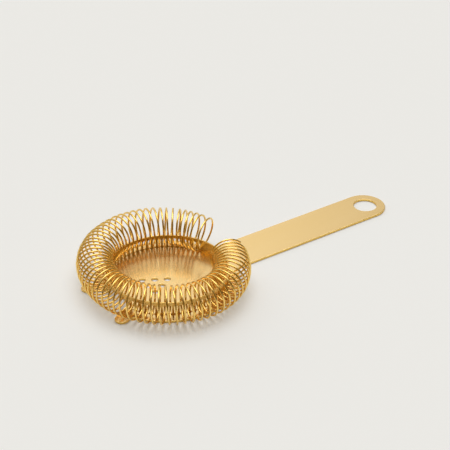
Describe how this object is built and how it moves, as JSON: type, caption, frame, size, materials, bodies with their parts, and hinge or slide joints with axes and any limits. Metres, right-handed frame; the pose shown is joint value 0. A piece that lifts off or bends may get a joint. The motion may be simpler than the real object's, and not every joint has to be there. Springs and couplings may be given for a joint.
{
  "type": "hawthorne strainer",
  "caption": "Bar strainer: flat plate with a long handle and two tabs, a slotted hoop on it, and a wire coil wound round the hoop.",
  "frame": {"origin": "centre of the disc, on the plate's underside", "axes": "+X from the disc along the handle, +Z square to the plate, to the coil's side"},
  "size_m": [0.1893, 0.0961, 0.0215],
  "materials": {
    "plate": "gold-coloured stainless sheet, satin brushed",
    "hoop": "gold-coloured stainless sheet, smooth",
    "wire": "gold-coloured spring wire, bright"
  },
  "bodies": {
    "plate": {"strainer_plate": "plate", "coil_hoop": "hoop"},
    "coil": {"coil_spring": "wire"}
  },
  "joints": [
    {"name": "coil_lift", "type": "slide", "parent": "plate", "child": "coil", "axis": [0, 0, 1], "range_m": [0, 0.0003]}
  ]
}
